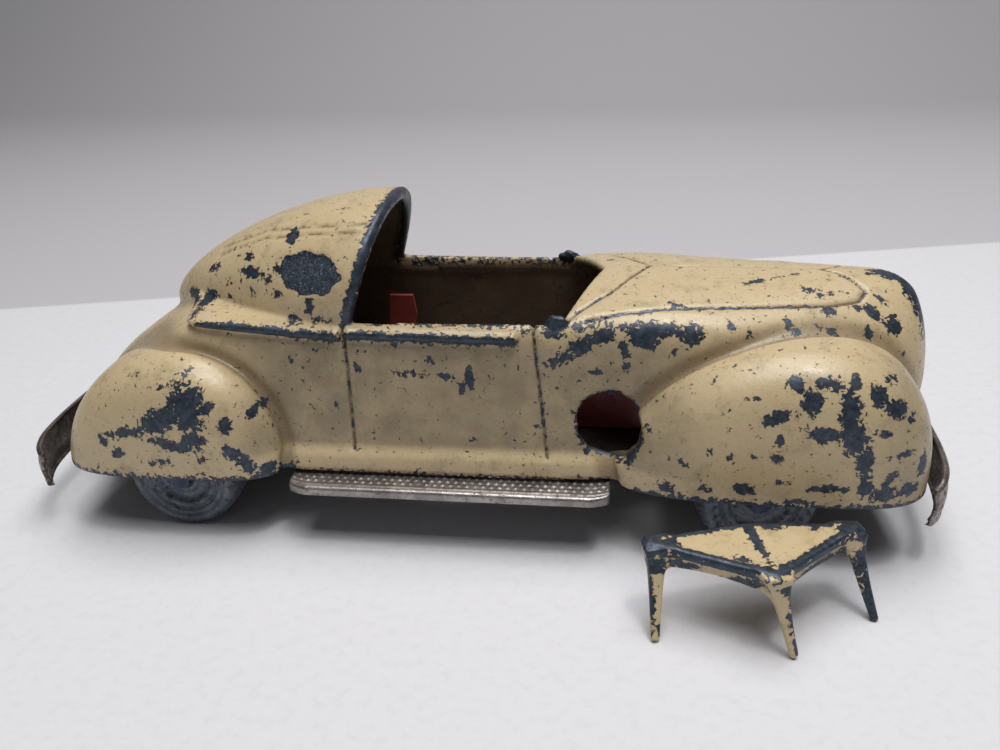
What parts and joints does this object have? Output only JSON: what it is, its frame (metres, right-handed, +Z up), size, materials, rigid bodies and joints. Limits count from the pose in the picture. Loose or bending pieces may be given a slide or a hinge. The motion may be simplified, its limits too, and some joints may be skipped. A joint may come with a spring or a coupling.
{
  "type": "toy car",
  "caption": "Streamlined die-cast toy coupe with open cockpit, pull-back spring drive, steering front axle and a broken-off V windscreen frame beside it.",
  "frame": {"origin": "on the floor, midway across the car, about midway between its axles", "axes": "+X to the car's front, +Y to its left, +Z up"},
  "size_m": [0.1372, 0.069, 0.0456],
  "materials": {
    "cream_paint": "worn cream enamel chipped to a dark blue-grey undercoat",
    "plated_steel": "dulled bright plating with brown stains",
    "tinplate": "dull tinplate",
    "steel": "plain steel",
    "brass": "dull brass",
    "spring_steel": "blued spring steel",
    "red_paint": "dark red lacquer",
    "wheel_metal": "blue-grey cast alloy"
  },
  "bodies": {
    "car": {"body_shell": "cream_paint", "chassis_plate": "tinplate", "front_body_screw": "steel", "rear_body_screw": "steel", "running_board_left": "plated_steel", "running_board_right": "plated_steel", "front_board_rivet_left": "steel", "rear_board_rivet_left": "steel", "front_board_rivet_right": "steel", "rear_board_rivet_right": "steel", "front_bumper": "plated_steel", "rear_bumper": "plated_steel", "front_bumper_rivet": "steel", "rear_bumper_rivet": "steel", "king_pin": "steel", "motor_plate_right": "red_paint", "motor_plate_left": "red_paint", "motor_pillar_1": "steel", "motor_pillar_2": "steel", "motor_pillar_3": "steel", "motor_pillar_4": "steel", "mainspring": "spring_steel", "lever_pin": "steel"},
    "rear_wheelset": {"rear_axle": "steel", "rear_wheel_left": "wheel_metal", "rear_wheel_right": "wheel_metal", "axle_pinion": "brass"},
    "steering": {"steering_bracket": "tinplate"},
    "front_wheelset": {"front_axle": "steel", "front_wheel_left": "wheel_metal", "front_wheel_right": "wheel_metal"},
    "train_d": {"train_wheel_d": "brass"},
    "train_c": {"train_wheel_c": "brass"},
    "train_b": {"train_wheel_b": "brass"},
    "train_a": {"train_wheel_a": "brass"},
    "mainspring_arbor": {"great_wheel": "brass", "winding_arbor": "steel"},
    "stop_lever": {"stop_lever": "red_paint"},
    "windscreen_frame": {"windscreen_frame": "cream_paint"}
  },
  "joints": [
    {"name": "rear_axle_spin", "type": "hinge", "parent": "car", "child": "rear_wheelset", "pos_m": [-0.0418, 0, 0.0083], "axis": [0, 1, 0], "continuous": true},
    {"name": "steering_swing", "type": "hinge", "parent": "car", "child": "steering", "pos_m": [0.0382, 0, 0.0106], "axis": [0, 0, 1], "range_deg": [-20, 4]},
    {"name": "front_axle_spin", "type": "hinge", "parent": "steering", "child": "front_wheelset", "pos_m": [0.0382, 0, 0.0083], "axis": [-0.1392, 0.9903, 0], "continuous": true},
    {"name": "train_d_spin", "type": "hinge", "parent": "car", "child": "train_d", "pos_m": [-0.0375, 0, 0.01842], "axis": [0, 1, 0], "continuous": true},
    {"name": "train_c_spin", "type": "hinge", "parent": "car", "child": "train_c", "pos_m": [-0.0235, 0, 0.01852], "axis": [0, 1, 0], "continuous": true},
    {"name": "train_b_spin", "type": "hinge", "parent": "car", "child": "train_b", "pos_m": [-0.0095, 0, 0.01861], "axis": [0, 1, 0], "continuous": true},
    {"name": "train_a_spin", "type": "hinge", "parent": "car", "child": "train_a", "pos_m": [0.0045, 0, 0.0187], "axis": [0, 1, 0], "continuous": true},
    {"name": "mainspring_wind", "type": "hinge", "parent": "car", "child": "mainspring_arbor", "pos_m": [0.0205, 0, 0.0188], "axis": [0, 1, 0], "continuous": true},
    {"name": "stop_lever_swing", "type": "hinge", "parent": "car", "child": "stop_lever", "pos_m": [-0.0136, 0.006, 0.0192], "axis": [0, 1, 0], "range_deg": [-10, 12]},
    {"name": "windscreen_frame_slide", "type": "slide", "parent": "car", "child": "windscreen_frame", "axis": [0, -1, 0], "range_m": [0, 0.03]}
  ],
  "couplings": [
    {"joint": "train_d_spin", "follows": "rear_axle_spin", "ratio": -0.57143},
    {"joint": "train_c_spin", "follows": "rear_axle_spin", "ratio": 0.57143},
    {"joint": "train_b_spin", "follows": "rear_axle_spin", "ratio": -0.57143},
    {"joint": "train_a_spin", "follows": "rear_axle_spin", "ratio": 0.57143},
    {"joint": "mainspring_wind", "follows": "rear_axle_spin", "ratio": -0.44444}
  ]
}
